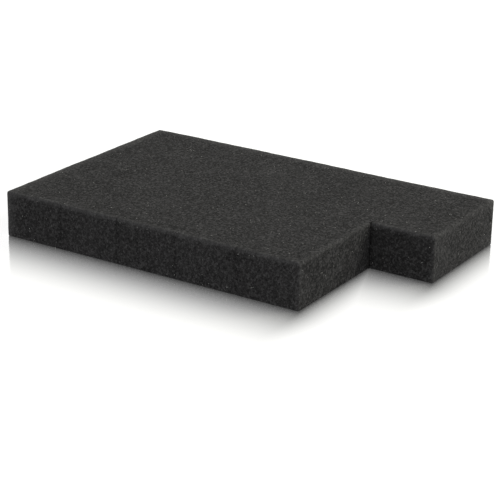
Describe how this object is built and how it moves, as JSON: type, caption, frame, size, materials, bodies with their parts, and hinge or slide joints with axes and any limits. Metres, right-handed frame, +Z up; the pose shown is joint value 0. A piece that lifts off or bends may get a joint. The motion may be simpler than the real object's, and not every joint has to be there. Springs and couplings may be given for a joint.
{
  "type": "foam insert",
  "caption": "Flat charcoal foam slab for a drawer or case, pre-cut right through into rectangular pull-out blocks, with a corner block missing, which leaves a stepped notch.",
  "frame": {"origin": "middle of the slab's full rectangle, on its underside", "axes": "+X along the long side, towards the end with the notch; +Y across the slab, away from the notch; +Z up through the thickness"},
  "size_m": [0.432, 0.276, 0.05],
  "materials": {
    "charcoal_foam": "matte"
  },
  "bodies": {
    "root": {"foam_insert": "charcoal_foam"}
  },
  "joints": []
}
